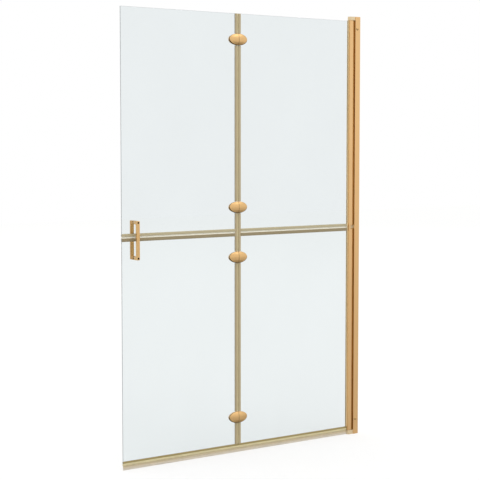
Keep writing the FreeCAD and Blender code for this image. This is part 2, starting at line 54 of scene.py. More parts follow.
MM = 0.001
HINGES = ("top", "upper", "lower", "bottom")
BLOCKS = ("top", "middle", "bottom")
LEAVES = ("inner", "outer")
LEVELS = ("upper", "lower")
SIDE = {"inner": 1, "outer": -1}

# Places read from model.glb, in metres: the wall is X = 0, the front faces -Y and the floor is Z = 0
INNER_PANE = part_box("inner_upper_pane")
OUTER_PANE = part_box("outer_upper_pane")
LOWER_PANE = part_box("inner_lower_pane")
HALF_GLASS = INNER_PANE[1].y
GLASS_FOOT = LOWER_PANE[0].z
FOLD_X = (INNER_PANE[0].x + OUTER_PANE[1].x) / 2
MID_Z = (INNER_PANE[0].z + LOWER_PANE[1].z) / 2
FOLD_HALF_GAP = INNER_PANE[0].x - FOLD_X
MID_HALF_GAP = INNER_PANE[0].z - MID_Z

# Air between a pane and what touches it, without which a ray through the glass meets two faces at once
GLASS_AIR = 0.02 * MM
# Points that are nearer than this are one point, and faces that turn less than this are one face
WELD = 0.002 * MM
FLAT = math.radians(0.3)


def linear(code):
    """Linear colour of an sRGB hex code."""
    shares = [int(code[i : i + 2], 16) / 255 for i in (0, 2, 4)]
    return tuple(s / 12.92 if s <= 0.04045 else ((s + 0.055) / 1.055) ** 2.4 for s in shares)


def colour(title, words, code):
    """Colour property with its default as a hex code."""
    return bpy.props.FloatVectorProperty(
        name=title, description=words, subtype="COLOR", size=3, min=0.0, max=1.0, default=linear(code)
    )


def length(title, words, millimetres):
    """Length property with its default in millimetres."""
    return bpy.props.FloatProperty(
        name=title, description=words, unit="LENGTH", precision=5, min=0.0, default=millimetres * MM
    )


def angle(title, words, degrees):
    """Angle property with its default in degrees."""
    return bpy.props.FloatProperty(
        name=title, description=words, subtype="ANGLE", default=math.radians(degrees)
    )


def number(title, words, default):
    """Property with a plain number as its default."""
    return bpy.props.FloatProperty(name=title, description=words, default=default)


class ScreenFinishes(bpy.types.PropertyGroup):
    """Colours of the finishes."""

    anodised: colour("Anodised gold", "Wall channel and pivot profiles", "EBC088")
    # Painted shade: the carriers share the anodised finish, and their darker, deeper tone stands for the
    # shaded slot they are seen down
    carrier: colour("Dark gold", "Carriers inside the wall channel", "DDB25C")
    plated: colour("Gold plating", "Hinge covers, hinge plates and front handle bar", "E4BA80")
    # Painted shade: the inner bar's plating is a darker copy of the front bar's
    shaded_inner_bar: colour("Inner bar plating in painted shade", "Handle bar on the inner side of the glass", "D2A262")
    # Painted shade: the plating darkens to this colour where a piece is marked as looking sideways or down
    painted_shade: colour("Painted shade on plating", "What the plating darkens to under its edges", "42321A")
    lacquer: colour("Gold lacquer", "Cast bearing blocks", "F2DBB2")
    glass: colour("Glass tint", "What a pane lets through", "E9EEEF")
    glass_edge: colour("Ground edge", "Ground edges of the panes", "D2D6D8")
    upright_seal: colour("Upright seal", "Clips of the seals along the fold line", "D2C098")
    upright_lip: colour("Upright lip", "Lips that meet along the fold line", "FFEFC0")
    upper_seal: colour("Upper mid seal", "Seal under an upper pane", "D7CAA3")
    # Painted shade: the lower mid seal is the same gold vinyl as the upper one, in a darker tone
    lower_seal: colour("Lower mid seal", "Seal over a lower pane", "AC9B76")
    bottom_tip: colour("Bottom seal edge", "Upper edge of the bottom seal", "AC9860")
    bottom_clip: colour("Bottom seal", "Clip and bulb of the bottom seal", "FFEDBE")
    # Partly painted light: the lips are real, and their opaque near-white stands in for light shining
    # through them
    cream_lip: colour("Cream lip", "Soft lips that close the mid gap", "FFF8E6")
    fin_root: colour("Fin root", "Upper part of the fin that wipes the floor", "EAD8B4")
    fin: colour("Fin", "Lower part of the fin that wipes the floor", "F4EAD8")
    glazing: colour("Tinted silicone", "Gaskets beside the pivot profiles", "FFE6B4")
    gasket: colour("Clear silicone", "Gaskets, washers and sleeves", "FFF9EF")
    nylon: colour("Natural nylon", "Pivot bushes", "E8E4D6")
    steel: colour("Stainless steel", "Pins, hinge screws and clamp plates", "B9B6B0")
    # The handle bolts' steel is given a near-black colour
    dark_steel: colour("Near-black steel", "Handle bolts", "150C05")


class ScreenSizes(bpy.types.PropertyGroup):
    """Sizes of the pieces that are modelled here."""

    channel_edge: length("Channel edge", "Rounding of the wall channel's edges", 0.5)
    profile_edge: length("Profile edge", "Rounding of the pivot profile's outer edges", 2.5)
    cut_edge: length("Cut edge", "Rounding of the pivot profile's cut ends and groove", 0.3)
    block_edge: length("Block edge", "Rounding of the bearing blocks' edges", 0.8)
    seal_wall: length("Seal wall", "Thickness of a seal's leg", 1.3)
    seal_web: length("Seal web", "Seal's thickness over a glass edge", 1.5)
    mid_web: length("Mid web", "Mid seal's thickness over a glass edge", 2.0)
    seal_round: length("Seal corner", "Rounding of a seal's outer corners", 0.9)
    seal_tip: length("Seal tip", "Thickness at the end of a leg", 0.4)
    seal_bevel: length("Seal bevel", "Length of the thinned end of a leg", 1.6)
    seal_lip: length("Seal lip", "Thickness of a soft lip at its root", 2.4)
    mid_lip: length("Mid lip", "Thickness of a mid seal's lip at its root", 6.4)
    bottom_tip: length("Bottom seal edge", "Height of the darker upper edge of the bottom seal", 7.0)
    tip_change: length("Tip change", "Height over which the bottom seal darkens", 0.5)
    bottom_web: length("Bottom web", "Bottom seal's thickness under the glass", 2.0)
    bulb_diameter: length("Bulb", "Diameter of the bottom seal's bulb", 8.0)
    bulb_sink: length("Bulb sink", "How far the bulb is set into the web", 1.0)
    fin_thickness: length("Fin", "Thickness of the bottom seal's fin", 1.2)
    fin_lean: length("Fin lean", "How far the fin leans forward", 3.0)
    gasket_taper: length("Gasket taper", "Length of the thinned lips of a glazing gasket", 2.5)
    cover_crown: length("Hinge crown", "Height of a hinge cover's crown over its rim", 4.5)
    cover_round: length("Hinge edge", "Rounding of a hinge cover's edge", 4.5)
    cover_bevel: length("Hinge seam", "Rounding along the seam of a hinge cover", 0.15)
    hinge_screw_offset: length("Hinge screw offset", "Hinge screws to the fold line", 22.0)
    hinge_screw_pitch: length("Hinge screw pitch", "Between the two screws of a hinge leaf", 22.0)
    hinge_screw_head: length("Hinge screw head", "Diameter of a hinge screw's head", 9.5)
    screw_shank: length("Screw shank", "Diameter of the screws' shanks", 5.0)
    screw_edge: length("Screw edge", "Chamfer round a hinge screw's head", 0.2)
    screw_mouth: length("Screw mouth", "Chamfer of a hinge screw's socket", 0.3)
    screw_point: length("Screw point", "Chamfer at a hinge screw's end", 0.5)
    bolt_shank: length("Bolt shank", "Diameter of the handle bolts' shanks", 4.0)
    bolt_head: length("Bolt head", "Height of the handle bolts' heads", 4.0)
    bolt_mouth: length("Bolt mouth", "Chamfer of a handle bolt's socket", 0.2)


class ScreenStage(bpy.types.PropertyGroup):
    """Camera, lamp and floor."""

    lens: number("Lens", "Focal length in millimetres", 89.49)
    shift: number("Shift", "Upright shift of the frame", -0.05)
    place: bpy.props.FloatVectorProperty(
        name="Camera", description="Place of the camera", subtype="XYZ", default=(-3.3517, -4.3122, 1.3470)
    )
    yaw: angle("Yaw", "Turn of the camera to the right of +Y", 32.242)
    pitch: angle("Pitch", "Tilt of the camera upwards", -3.641)
    key: number("Key light", "Strength of the soft key light", 0.45)
    key_spread: angle("Key spread", "How wide the soft key light looks", 45.0)
    key_height: angle("Key height", "Angle of the key light over the floor", 50.0)
    key_turn: angle("Key turn", "Turn of the key light to the right of the front", 30.0)
    fill: number("Fill", "Strength of the room's white light", 1.0)
    floor: colour("Floor", "Pale studio floor", "A5A5A4")
    floor_reach: length("Floor reach", "Middle of the floor to its sides", 14000.0)
    floor_near: length("Near floor", "Where the floor begins to run into the white room", 5600.0)
    floor_lift: number("Floor lift", "Light added to the floor where it is seen, to read white", 0.63)
    floor_gloss: number("Floor in metal", "Light added to the floor where metal mirrors it", 0.30)
    floor_far: number("Far floor", "Light added to the far floor, which runs into the white room", 0.58)


class ScreenSettings(bpy.types.PropertyGroup):
    """All settings of the shower screen."""

    finishes: bpy.props.PointerProperty(type=ScreenFinishes)
    sizes: bpy.props.PointerProperty(type=ScreenSizes)
    stage: bpy.props.PointerProperty(type=ScreenStage)


# Nodes and materials

# Most values of a noise lie between these
NOISE_LOW = 0.3
NOISE_HIGH = 0.7
# Detail of a pattern that varies slowly, and of a fine one
SMOOTH = 2.0
FINE = 3.0
VINYL_TONES = (0.88, 1.1)


def add(tree, kind, inputs=None, **settings):
    """Add a node, with its settings, and give its inputs values or links from other nodes' outputs."""
    made = tree.nodes.new(kind)
    for name, value in settings.items():
        setattr(made, name, value)
    for key, value in (inputs or {}).items():
        if isinstance(value, bpy.types.NodeSocket):
            tree.links.new(value, made.inputs[key])
        else:
            made.inputs[key].default_value = value
    return made


def rgba(shade, tone=1.0):
    """Shade made darker or lighter by a tone, with alpha."""
    return tuple(min(1.0, part * tone) for part in shade) + (1.0,)


def begin(name):
    """Material with an empty tree, that tree, and object coordinates in it."""
    material = bpy.data.materials.new(name)
    material.use_nodes = True
    tree = material.node_tree
    tree.nodes.clear()
    return material, tree, add(tree, "ShaderNodeTexCoord").outputs["Object"]


def pattern(tree, place, sizes, detail):
    """Noise from 0 to 1 with features of these sizes in millimetres along X, Y and Z."""
    scale = tuple(1 / (size * MM) for size in sizes)
    stretched = add(tree, "ShaderNodeMapping", {"Vector": place, "Scale": scale})
    noise = add(tree, "ShaderNodeTexNoise", {"Vector": stretched.outputs[0], "Scale": 1.0, "Detail": detail})
    return noise.outputs["Fac"]


def grained(
    name, shade, sockets, grain, tones, rough, depth=0.02, strength=0.3, detail=FINE,
    clouds=None, lift=0.0, hairs=None, second=None,
):
    """Material whose grain sets its tone, its gloss and its relief, with sizes and depth in millimetres.

    Clouds change the tone slowly and lift it. Hairs set the gloss in place of the grain. Second gives where
    another colour shows, and that colour.
    """
    material, tree, place = begin(name)
    height = pattern(tree, place, grain, detail)
    gloss = pattern(tree, place, hairs, SMOOTH) if hairs else height
    tone = height
    if clouds:
        factors = {0: height, 1: pattern(tree, place, clouds, SMOOTH), 2: lift}
        tone = add(tree, "ShaderNodeMath", factors, operation="MULTIPLY_ADD").outputs[0]
    ends = {"A": rgba(shade, tones[0]), "B": rgba(shade, tones[1])}
    paint = add(tree, "ShaderNodeMix", {"Factor": tone, **ends}, data_type="RGBA").outputs["Result"]
    if second:
        share, cover = second(tree, place, tone)
        layers = {"Factor": share, "A": paint, "B": cover}
        paint = add(tree, "ShaderNodeMix", layers, data_type="RGBA").outputs["Result"]
    span = {"From Min": NOISE_LOW, "From Max": NOISE_HIGH, "To Min": rough[0], "To Max": rough[1]}
    roughness = add(tree, "ShaderNodeMapRange", {"Value": gloss, **span}).outputs["Result"]
    bump = add(tree, "ShaderNodeBump", {"Height": height, "Distance": depth * MM, "Strength": strength})
    links = {"Base Color": paint, "Roughness": roughness, "Normal": bump.outputs["Normal"]}
    shader = add(tree, "ShaderNodeBsdfPrincipled", {**sockets, **links})
    add(tree, "ShaderNodeOutputMaterial", {"Surface": shader.outputs["BSDF"]})
    return material


def gold_anodised(name, shade):
    """Anodised aluminium, drawn and satin etched: a soft gloss with fine die lines along its length."""
    # Die lines are about 0.2 mm apart, drawn at 1.5 mm so that they show
    lines = (1.5, 1.5, 600.0)
    return grained(
        name, shade, {"Metallic": 1.0}, grain=lines, tones=(0.9, 1.06), rough=(0.27, 0.4),
        strength=0.35, clouds=(60.0, 60.0, 180.0), lift=0.22,
    )


def gold_plated(name, shade, dark):
    """Polished brass under gold plating: bright, rippled by the buffing wheel, and darkened by painted shade
    where a piece is marked for it.
    """

    # Painted shade: the dark colour shows as far as the piece's mark says
    def painted_shading(tree, place, tone):
        return add(tree, "ShaderNodeAttribute", attribute_name="painted_shade").outputs["Fac"], rgba(dark)

    # Buffing leaves a ripple of a few millimetres, and hairlines drawn at 0.6 mm so that they show
    return grained(
        name, shade, {"Metallic": 1.0}, grain=(7.0, 7.0, 5.0), tones=(0.93, 1.05), rough=(0.26, 0.38),
        depth=0.03, detail=SMOOTH, hairs=(9.0, 9.0, 0.6), second=painted_shading,
    )


def gold_lacquered(name, shade):
    """Zinc casting under satin gold lacquer: pale, slightly grained, with a dull gloss."""
    # Cast grain is about 0.4 mm, drawn at 1.2 mm so that it shows
    return grained(
        name, shade, {"Metallic": 0.35}, grain=(1.2, 1.2, 1.2), tones=(0.85, 1.08), rough=(0.36, 0.52),
        depth=0.05, strength=0.4, detail=4.0,
    )


def toughened_glass(name, shade):
    """Clear toughened float glass: a faint cool tint, and a soft mirror of the room."""
    material, tree, place = begin(name)
    # Rolling and quenching leave a very faint unevenness over hands' breadths
    clouds = pattern(tree, place, (260.0, 260.0, 340.0), SMOOTH)
    ends = {"A": rgba(shade, 0.985), "B": rgba(shade, 1.02)}
    tint = add(tree, "ShaderNodeMix", {"Factor": clouds, **ends}, data_type="RGBA").outputs["Result"]
    sockets = {"Base Color": tint, "Roughness": 0.0, "IOR": 1.5, "Transmission Weight": 1.0}
    shader = add(tree, "ShaderNodeBsdfPrincipled", sockets)
    # Lamps shine through a clear pane, and each of its two faces takes half of the tint
    ray = add(tree, "ShaderNodeLightPath").outputs["Is Shadow Ray"]
    clear = add(tree, "ShaderNodeBsdfTransparent", {"Color": rgba([math.sqrt(part) for part in shade])})
    mix = add(tree, "ShaderNodeMixShader", {0: ray, 1: shader.outputs["BSDF"], 2: clear.outputs["BSDF"]})
    add(tree, "ShaderNodeOutputMaterial", {"Surface": mix.outputs["Shader"]})
    return material


def ground_edge(name, shade):
    """Ground and part-polished glass edge: grey, frosted, with fine wheel marks along it."""
    # Wheel marks are about 0.1 mm apart, drawn at 0.8 mm so that they show
    return grained(
        name, shade, {"IOR": 1.5, "Transmission Weight": 0.35}, grain=(0.8, 0.8, 0.8), tones=(0.88, 1.1),
        rough=(0.35, 0.55), depth=0.03, strength=0.4,
    )


def extruded_vinyl(name, shade, run, clear, upper=None, change=None):
    """Extruded vinyl: smooth, half see-through, with faint flow lines along its run.

    Where an upper shade is given, the vinyl changes to it between two heights.
    """

    def above(tree, place, tone):
        height = add(tree, "ShaderNodeSeparateXYZ", {"Vector": place}).outputs["Z"]
        heights = {"From Min": change[0], "From Max": change[1]}
        share = add(tree, "ShaderNodeMapRange", {"Value": height, **heights}).outputs["Result"]
        ends = {"A": rgba(upper, VINYL_TONES[0]), "B": rgba(upper, VINYL_TONES[1])}
        top = add(tree, "ShaderNodeMix", {"Factor": tone, **ends}, data_type="RGBA")
        return share, top.outputs["Result"]

    # Flow lines are a few tenths of a millimetre wide, drawn at 1 mm so that they show
    flow = [350.0 if axis == run else 1.0 for axis in "XYZ"]
    return grained(
        name, shade, {"IOR": 1.53, "Transmission Weight": clear}, grain=flow, tones=VINYL_TONES,
        rough=(0.24, 0.38), clouds=(40.0, 40.0, 40.0), lift=0.2, second=above if upper else None,
    )


def moulded_silicone(name, shade):
    """Clear silicone: milky, soft and slightly dusty."""
    # Mould texture of about 0.5 mm, drawn at 1 mm so that it shows
    return grained(
        name, shade, {"IOR": 1.43, "Transmission Weight": 0.05}, grain=(1.0, 1.0, 1.0), tones=(0.92, 1.04),
        rough=(0.4, 0.55),
    )


def turned_nylon(name, shade):
    """Natural nylon, turned: waxy off-white with fine tool rings round the pivot."""
    # Tool rings are 0.2 mm apart, drawn at 0.6 mm so that they show
    return grained(
        name, shade, {"IOR": 1.53}, grain=(40.0, 40.0, 0.6), tones=(0.92, 1.04), rough=(0.38, 0.52),
        detail=SMOOTH,
    )


def turned_steel(name, shade):
    """Steel, turned and washed: fine rings, medium gloss."""
    # Tool rings are 0.1 mm apart, drawn at 0.5 mm so that they show
    return grained(
        name, shade, {"Metallic": 1.0}, grain=(0.5, 8.0, 0.5), tones=(0.85, 1.08), rough=(0.24, 0.38),
    )


def finish_named(name, make, *shades):
    """The material of that name, made once."""
    return bpy.data.materials.get(name) or make(name, *shades)


def plating(finishes):
    """The gold plating of the hinges, handle and lock screws, with painted shade where a piece is marked for
    it.
    """
    return finish_named("polished gold plating", gold_plated, finishes.plated, finishes.painted_shade)


def stainless(finishes):
    """The steel of the pins, plates and hinge screws."""
    return finish_named("turned stainless steel", turned_steel, finishes.steel)


def dress(node, material):
    """Give a CAD node a finish."""
    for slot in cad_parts[node].material_slots:
        slot.material = material


# Meshes and pieces

# How far painted shade darkens plating as it turns from the front and looks down, where that starts and is
# full
PAINTED_SHADE_TURN = 1.2
PAINTED_SHADE_DOWN = 0.6
PAINTED_SHADE_START = 0.15
PAINTED_SHADE_FULL = 0.45
# Steps round edges, a seal's bulb, a lock screw's dome, and half an oval, its crown and its rim
BEVEL_STEPS = 3
BULB_STEPS = 10
DOME_STEPS = 8
OVAL_STEPS = 56
CROWN_STEPS = 8
RIM_STEPS = 6


def crease(mesh, degrees=32.0):
    """Smooth shading with creases at corners."""
    mesh.shade_smooth()
    mesh.set_sharp_from_angle(angle=math.radians(degrees))


def painted_shade(mesh):
    """Mark painted shade on plating: on walls that look sideways, and most on those that look down."""
    marks = mesh.attributes.new("painted_shade", "FLOAT", "POINT")
    for point, mark in zip(mesh.vertices, marks.data):
        share = PAINTED_SHADE_TURN * (1 + point.normal.y) - PAINTED_SHADE_DOWN * point.normal.z
        mark.value = min(1.0, max(0.0, (share - PAINTED_SHADE_START) / (PAINTED_SHADE_FULL - PAINTED_SHADE_START)))


def linked(name, data):
    """Object in the scene with this data."""
    ob = bpy.data.objects.new(name, data)
    bpy.context.scene.collection.objects.link(ob)
    return ob


def piece(name, mesh, body, slot, *nodes):
    """Finished mesh as a piece that rides on a body and stands for CAD nodes."""
    ob = linked(name, mesh)
    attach(ob, body)
    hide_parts(*nodes)
    return ob


def plain_mesh(name, work):
    """Mesh of what was worked on, which is freed."""
    mesh = bpy.data.meshes.new(name)
    work.to_mesh(mesh)
    work.free()
    return mesh


def merged_copy(node):
    """Copy of a CAD node's mesh with its points merged and its flat faces joined."""
    work = bmesh.new()
    work.from_mesh(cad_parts[node].data)
    bmesh.ops.remove_doubles(work, verts=work.verts, dist=WELD)
    bmesh.ops.dissolve_limit(work, angle_limit=FLAT, verts=work.verts, edges=work.edges)
    mesh = plain_mesh(node + "_copy", work)
    for spare in ("custom_normal", "sharp_edge", "sharp_face"):
        if spare in mesh.attributes:
            mesh.attributes.remove(mesh.attributes[spare])
    return mesh


def evaluated(ob):
    """Plain mesh of an object with its modifiers applied. The object itself is deleted."""
    graph = bpy.context.evaluated_depsgraph_get()
    shaped = ob.evaluated_get(graph)
    mesh = bpy.data.meshes.new_from_object(shaped, preserve_all_data_layers=True, depsgraph=graph)
    bpy.data.objects.remove(ob)
    return mesh


def softened(mesh, width, material, share=None, degrees=40.0):
    """Mesh with its sharp edges rounded, each by its share of the width, and flat faces that look flat."""
    work = bmesh.new()
    work.from_mesh(mesh)
    weight = work.edges.layers.float.new("bevel_weight_edge")
    for edge in work.edges:
        if edge.calc_face_angle(0.0) > math.radians(degrees):
            edge[weight] = share(*[point.co for point in edge.verts]) if share else 1.0
    work.to_mesh(mesh)
    work.free()
    mesh.shade_smooth()
    mesh.materials.clear()
    mesh.materials.append(material)
    ob = linked("soften", mesh)
    bevel = ob.modifiers.new("edges", "BEVEL")
    bevel.width = width
    bevel.segments = BEVEL_STEPS
    bevel.limit_method = "WEIGHT"
    ob.modifiers.new("normals", "WEIGHTED_NORMAL")
    return evaluated(ob)


def node_result(mesh, tree, values):
    """Plain mesh that a Geometry Nodes tree makes from a start mesh, with its named inputs set."""
    ob = linked("nodes", mesh)
    modifier = ob.modifiers.new("tree", "NODES")
    modifier.node_group = tree
    for item in tree.interface.items_tree:
        if item.in_out == "INPUT" and item.name in values:
            modifier[item.identifier] = values[item.name]
    return evaluated(ob)


def new_tree(name, inputs):
    """Geometry Nodes tree with a mesh in and out and named inputs, with its input and output nodes."""
    tree = bpy.data.node_groups.new(name, "GeometryNodeTree")
    for title, kind in {"Geometry": "Geometry", **inputs}.items():
        tree.interface.new_socket(title, in_out="INPUT", socket_type="NodeSocket" + kind)
    tree.interface.new_socket("Geometry", in_out="OUTPUT", socket_type="NodeSocketGeometry")
    return tree, add(tree, "NodeGroupInput"), add(tree, "NodeGroupOutput")


# Parts of a seal's section, numbered from 0
SEAL_PARTS = ("Clip", "Bulb", "Lip")


def extrusion_tree():
    """Draws a section of faces out along a run, and gives each part of the section its own material."""
    tree, given, out = new_tree("Extruded seal", {"Run": "Vector", **dict.fromkeys(SEAL_PARTS, "Material")})
    section = given.outputs["Geometry"]
    run = {"Offset": given.outputs["Run"], "Individual": False}
    drawn = add(tree, "GeometryNodeExtrudeMesh", {"Mesh": section, **run})
    cap = add(tree, "GeometryNodeFlipFaces", {"Mesh": section})
    both = add(tree, "GeometryNodeJoinGeometry")
    tree.links.new(drawn.outputs["Mesh"], both.inputs[0])
    tree.links.new(cap.outputs["Mesh"], both.inputs[0])
    closed = add(tree, "GeometryNodeMergeByDistance", {"Geometry": both.outputs[0], "Distance": WELD})
    last = add(tree, "GeometryNodeRealizeInstances", {"Geometry": closed.outputs[0]}).outputs[0]
    part = add(tree, "GeometryNodeInputNamedAttribute", {"Name": "seal_part"}, data_type="INT")
    for index, title in enumerate(SEAL_PARTS):
        test = {"A": part.outputs["Attribute"], "B": index}
        chosen = add(tree, "FunctionNodeCompare", test, data_type="INT", operation="EQUAL").outputs[0]
        paint = {"Geometry": last, "Selection": chosen, "Material": given.outputs[title]}
        last = add(tree, "GeometryNodeSetMaterial", paint).outputs[0]
    tree.links.new(last, out.inputs[0])
    return tree


def fastener_tree():
    """Sets a fastener on each point, turned by chance about its axis, which is Y."""
    inputs = {"Fastener": "Object", "Seed": "Int", "Finish": "Material"}
    tree, given, out = new_tree("Fastener set", inputs)
    shape = add(tree, "GeometryNodeObjectInfo", {"Object": given.outputs["Fastener"], "As Instance": True})
    sixth = {"Min": (0.0, 0.0, 0.0), "Max": (0.0, math.pi / 3, 0.0), "Seed": given.outputs["Seed"]}
    turn = add(tree, "FunctionNodeRandomValue", sixth, data_type="FLOAT_VECTOR").outputs["Value"]
    spots = add(tree, "GeometryNodeMeshToPoints", {"Mesh": given.outputs["Geometry"]}).outputs[0]
    setting = {"Points": spots, "Instance": shape.outputs["Geometry"], "Rotation": turn}
    placed = add(tree, "GeometryNodeInstanceOnPoints", setting).outputs[0]
    real = add(tree, "GeometryNodeRealizeInstances", {"Geometry": placed}).outputs[0]
    paint = {"Geometry": real, "Material": given.outputs["Finish"]}
    painted = add(tree, "GeometryNodeSetMaterial", paint).outputs[0]
    tree.links.new(painted, out.inputs[0])
    return tree


def rounded(corners, steps=4):
    """Closed outline from (u, v, radius) corners, with an arc at each corner that has a radius."""
    outline = []
    for i, (u, v, radius) in enumerate(corners):
        corner = Vector((u, v))
        if not radius:
            outline.append(corner)
            continue
        before = (Vector(corners[i - 1][:2]) - corner).normalized()
        after = (Vector(corners[(i + 1) % len(corners)][:2]) - corner).normalized()
        half = before.angle(after) / 2
        centre = corner + (before + after).normalized() * radius / math.sin(half)
        start = corner + before * radius / math.tan(half) - centre
        end = corner + after * radius / math.tan(half) - centre
        for step in range(steps + 1):
            outline.append(centre + start.slerp(end, step / steps).normalized() * radius)
    return outline


def steps_between(start, end, steps):
    """Even steps from start to end, both included."""
    return [start + (end - start) * i / steps for i in range(steps + 1)]


def section_mesh(parts, place, run):
    """Faces of a section that look along the run, from (number, outline) parts that place puts in space."""
    work = bmesh.new()
    part = work.faces.layers.int.new("seal_part")
    for index, outline in parts:
        face = work.faces.new([work.verts.new(place(u, v)) for u, v in outline])
        face[part] = index
        face.normal_update()
        if face.normal.dot(run) < 0:
            face.normal_flip()
    bmesh.ops.remove_doubles(work, verts=work.verts, dist=WELD)
    return plain_mesh("section", work)


def clip_corners(sizes, leg, web, root):
    """Outline of a clip: u runs onto the pane from its edge, v across it. The root of its lip comes last."""
    outer = HALF_GLASS + sizes.seal_wall
    half = [
        (-web, outer, sizes.seal_round),
        (leg - sizes.seal_bevel, outer, sizes.seal_round),
        (leg, HALF_GLASS + sizes.seal_tip, 0.0),
        (leg, HALF_GLASS, 0.0),
        (0.0, HALF_GLASS, 0.0),
    ]
    other = [(u, -v, radius) for u, v, radius in reversed(half)]
    return half + other + [(-web, -root, 0.0), (-web, root, 0.0)]


def lipped_section(sizes, leg, reach, web, thickness):
    """Clip with a soft lip that reaches beyond the glass edge, as numbered outlines."""
    root = thickness / 2
    nose = thickness / 4
    lip = [(-web, root, 0.0), (-web, -root, 0.0), (-reach, -nose, nose), (-reach, nose, nose)]
    return [(0, rounded(clip_corners(sizes, leg, web, root))), (2, rounded(lip))]


# Rounding of the fin's tip as a share of its half thickness
FIN_TIP = 0.6


def bottom_section(sizes, leg, floor_drop):
    """Clip with a bulb under its web and a fin that leans forward to the floor, as numbered outlines."""
    web = sizes.bottom_web
    radius = sizes.bulb_diameter / 2
    centre = -web - radius + sizes.bulb_sink
    root = math.sqrt(radius**2 - (-web - centre) ** 2)
    half = sizes.fin_thickness / 2
    lean = math.atan2(-sizes.fin_lean, centre + floor_drop)
    spread = math.asin(half / radius)
    start = math.atan2(root, -web - centre)
    before = math.pi - lean - spread
    after = math.pi - lean + spread

    def on_bulb(turn):
        return centre + radius * math.cos(turn), radius * math.sin(turn)

    turns = steps_between(start, before, BULB_STEPS)
    turns += steps_between(after, 2 * math.pi - start, BULB_STEPS)
    tip = half * FIN_TIP
    fin = [
        (*on_bulb(before), 0.0),
        (-floor_drop, -sizes.fin_lean + half, tip),
        (-floor_drop, -sizes.fin_lean - half, tip),
        (*on_bulb(after), 0.0),
    ]
    clip = rounded(clip_corners(sizes, leg, web, root))
    return [(0, clip), (1, [on_bulb(turn) for turn in turns]), (2, rounded(fin))]


def shell(work, rings, turns, place):
    """Loops of points that place gives for each ring and turn, with faces between one loop and the next."""
    loops = []
    for ring in rings:
        if ring[0]:
            loops.append([work.verts.new(place(*ring, turn)) for turn in turns])
        else:
            loops.append([work.verts.new(place(*ring, 0.0))] * len(turns))
    for near, far in zip(loops, loops[1:]):
        for i in range(len(turns) - 1):
            work.faces.new(list(dict.fromkeys((near[i], near[i + 1], far[i + 1], far[i]))))
    return loops


def lathed(hexagons, circles, sides=24):
    """Closed mesh turned about Y, through hexagons and then circles, each given by its reach and its Y."""
    sixth = math.pi / 3

    def place(reach, y, hexagonal, turn):
        if hexagonal:
            reach /= math.cos((turn + sixth / 2) % sixth - sixth / 2)
        return reach * math.cos(turn), y, reach * math.sin(turn)

    work = bmesh.new()
    rings = [(*ring, True) for ring in hexagons] + [(*ring, False) for ring in circles]
    shell(work, rings, steps_between(0.0, 2 * math.pi, sides), place)
    bmesh.ops.remove_doubles(work, verts=work.verts, dist=WELD)
    bmesh.ops.recalc_face_normals(work, faces=work.faces)
    return plain_mesh("lathed", work)


def joined(meshes):
    """One mesh of several, with the first one's materials."""
    work = bmesh.new()
    for mesh in meshes:
        work.from_mesh(mesh)
    whole = plain_mesh("joined", work)
    for material in meshes[0].materials:
        whole.materials.append(material)
    return whole


def fasteners(name, shape, points, finish, body, slot, node, seed):
    """Group of like fasteners, set on points by Geometry Nodes."""
    spots = bpy.data.meshes.new("spots")
    spots.from_pydata(points, [], [])
    model = linked("model", shape)
    tree = bpy.data.node_groups.get("Fastener set") or fastener_tree()
    mesh = node_result(spots, tree, {"Fastener": model, "Seed": seed, "Finish": finish})
    bpy.data.objects.remove(model)
    crease(mesh, degrees=35.0)
    return piece(name, mesh, body, slot, node)


# Operators

# Long edges of a pivot profile beyond this share of its half depth are outer ones
PROFILE_OUTER = 0.9
# Faces of a pane whose normal has less than this along Y are cut edges and walls of holes
PANE_FACE = 0.99
# Shares of the fin's height between which it changes shade
FIN_CHANGE = (0.35, 0.8)
# Sockets and bolt heads: a socket's reach as a share of the head's, its flare, and the bolt's rim
SOCKET_REACH = 0.5
SOCKET_FLARE = 1.1
BOLT_RIM = 0.1
# Lock screws: the socket as a share of the head, the dome's start of the socket, the rim and the
# socket's floor of the height, and the socket's mouth of the dome
LOCK_SOCKET = 0.36
LOCK_DOME = 1.3
LOCK_RIM = 0.15
LOCK_FLOOR = 0.4
LOCK_MOUTH = 0.97


class SCREEN_OT_wall_profiles(bpy.types.Operator):
    """Round the edges of the wall channels and pivot profiles, and give all extrusions their finish"""

    bl_idname = "shower_screen.wall_profiles"
    bl_label = "Wall profiles"

    def execute(self, context):
        settings = context.scene.shower_screen
        sizes = settings.sizes
        gold = gold_anodised("gold anodised aluminium", settings.finishes.anodised)
        # Painted shade: a darker, deeper copy of the anodised gold for the carriers, seen only down the slot
        dark = gold_anodised("gold anodised aluminium in painted shade", settings.finishes.carrier)
        for level in LEVELS:
            node = f"{level}_wall_channel"
            mesh = softened(merged_copy(node), sizes.channel_edge, gold)
            piece(f"{level}_drawn_wall_channel", mesh, "wall_channel", "gold_anodised", node)
            node = f"{level}_pivot_profile"
            mesh = softened(merged_copy(node), sizes.profile_edge, gold, self.profile_share(node, sizes))
            piece(f"{level}_drawn_pivot_profile", mesh, "inner_leaf", "gold_anodised", node)
            dress(f"{level}_carrier", dark)
        return {"FINISHED"}

    def profile_share(self, node, sizes):
        """Full rounding on the long outer edges of a profile, and a little on its groove and cut ends."""
        low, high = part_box(node)
        long_edge = (high.z - low.z) / 2

        def share(start, end):
            outer = abs(end.z - start.z) > long_edge and abs(start.y) > high.y * PROFILE_OUTER
            return 1.0 if outer else sizes.cut_edge / sizes.profile_edge

        return share


